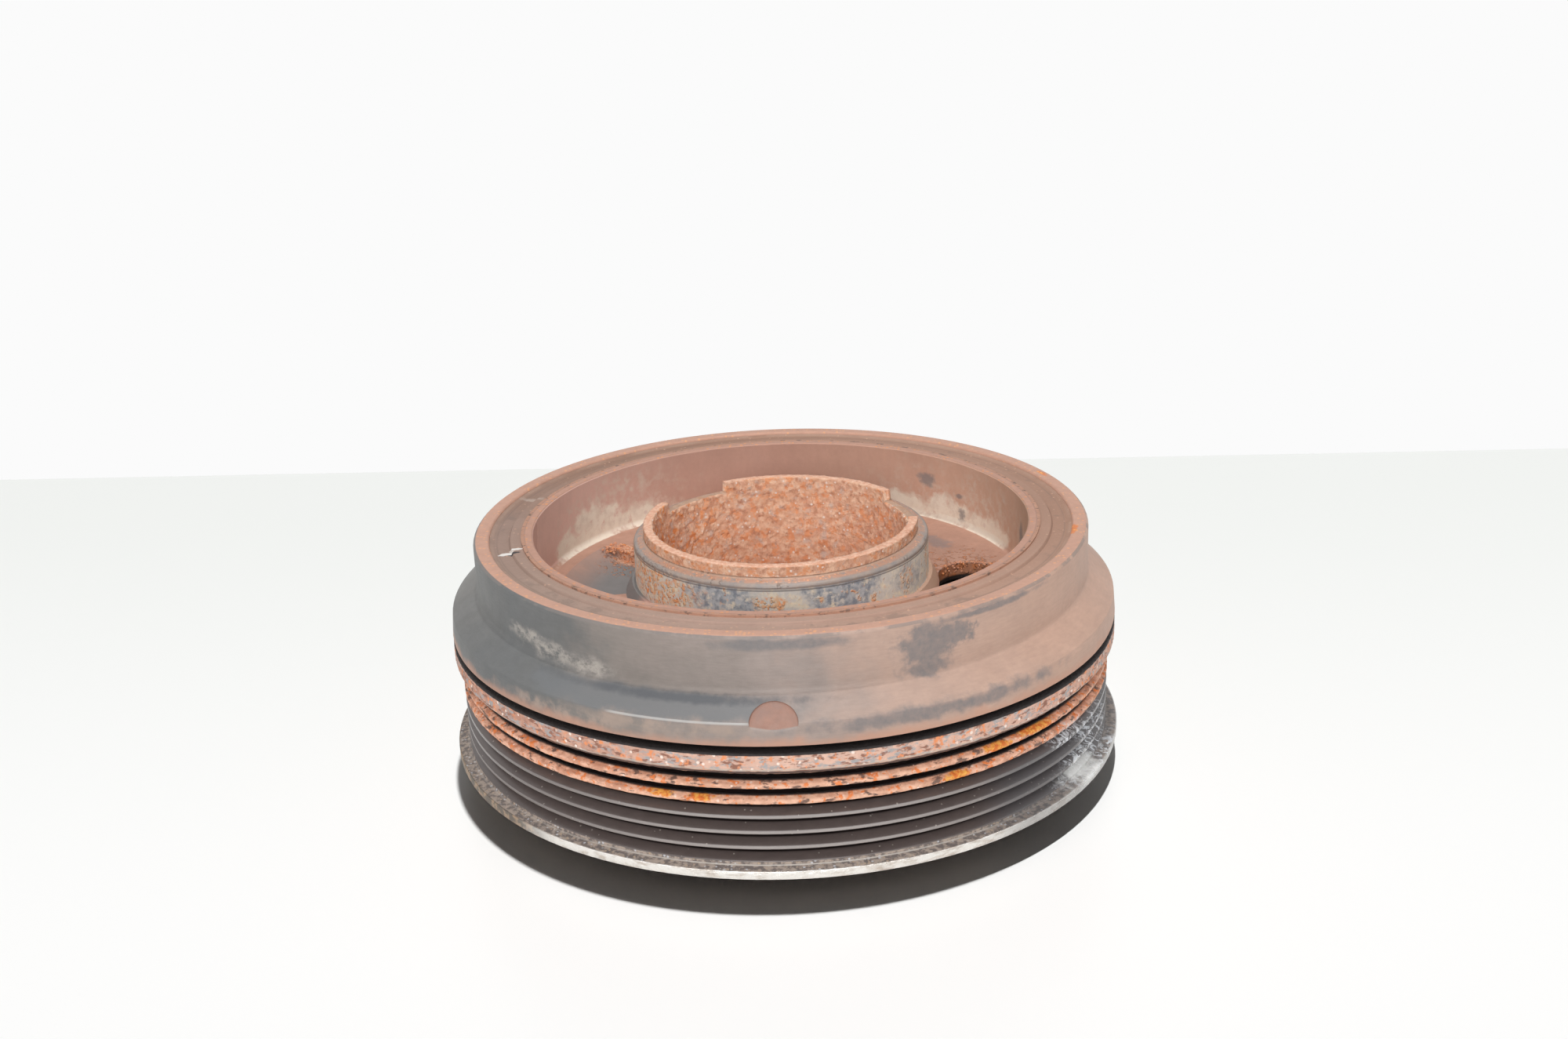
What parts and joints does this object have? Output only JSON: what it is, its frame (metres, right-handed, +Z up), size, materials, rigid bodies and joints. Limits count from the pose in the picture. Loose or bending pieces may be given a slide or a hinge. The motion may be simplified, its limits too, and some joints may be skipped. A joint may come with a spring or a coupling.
{
  "type": "crankshaft pulley",
  "caption": "Ribbed belt pulley with a rubber-bonded inertia ring and a hollow notched hub tube, bolted to a crankshaft through a plate inside the tube.",
  "frame": {"origin": "on the crank axis, in the plane of the hub foot that the pulley stands on and that seats on the crankshaft", "axes": "+Z up along the crank axis, from the foot to the open collar; the picture looks along +Y"},
  "size_m": [0.1618, 0.1618, 0.0595],
  "materials": {
    "hub_steel": "rusted and pitted, with old dark paint",
    "cup_steel": "smooth thin rust film with cream dust",
    "sleeve_steel": "thin rust film",
    "damper_rubber": "dusty, rust-stained",
    "ring_iron": "grey paint under a thin rust film",
    "pulley_steel": "rusted rim, belt-polished dark grooves"
  },
  "bodies": {
    "root": {"hub": "hub_steel", "carrier_cup": "cup_steel", "damper_sleeve": "sleeve_steel", "damper_rubber": "damper_rubber", "inertia_ring": "ring_iron", "belt_pulley": "pulley_steel"}
  },
  "joints": []
}
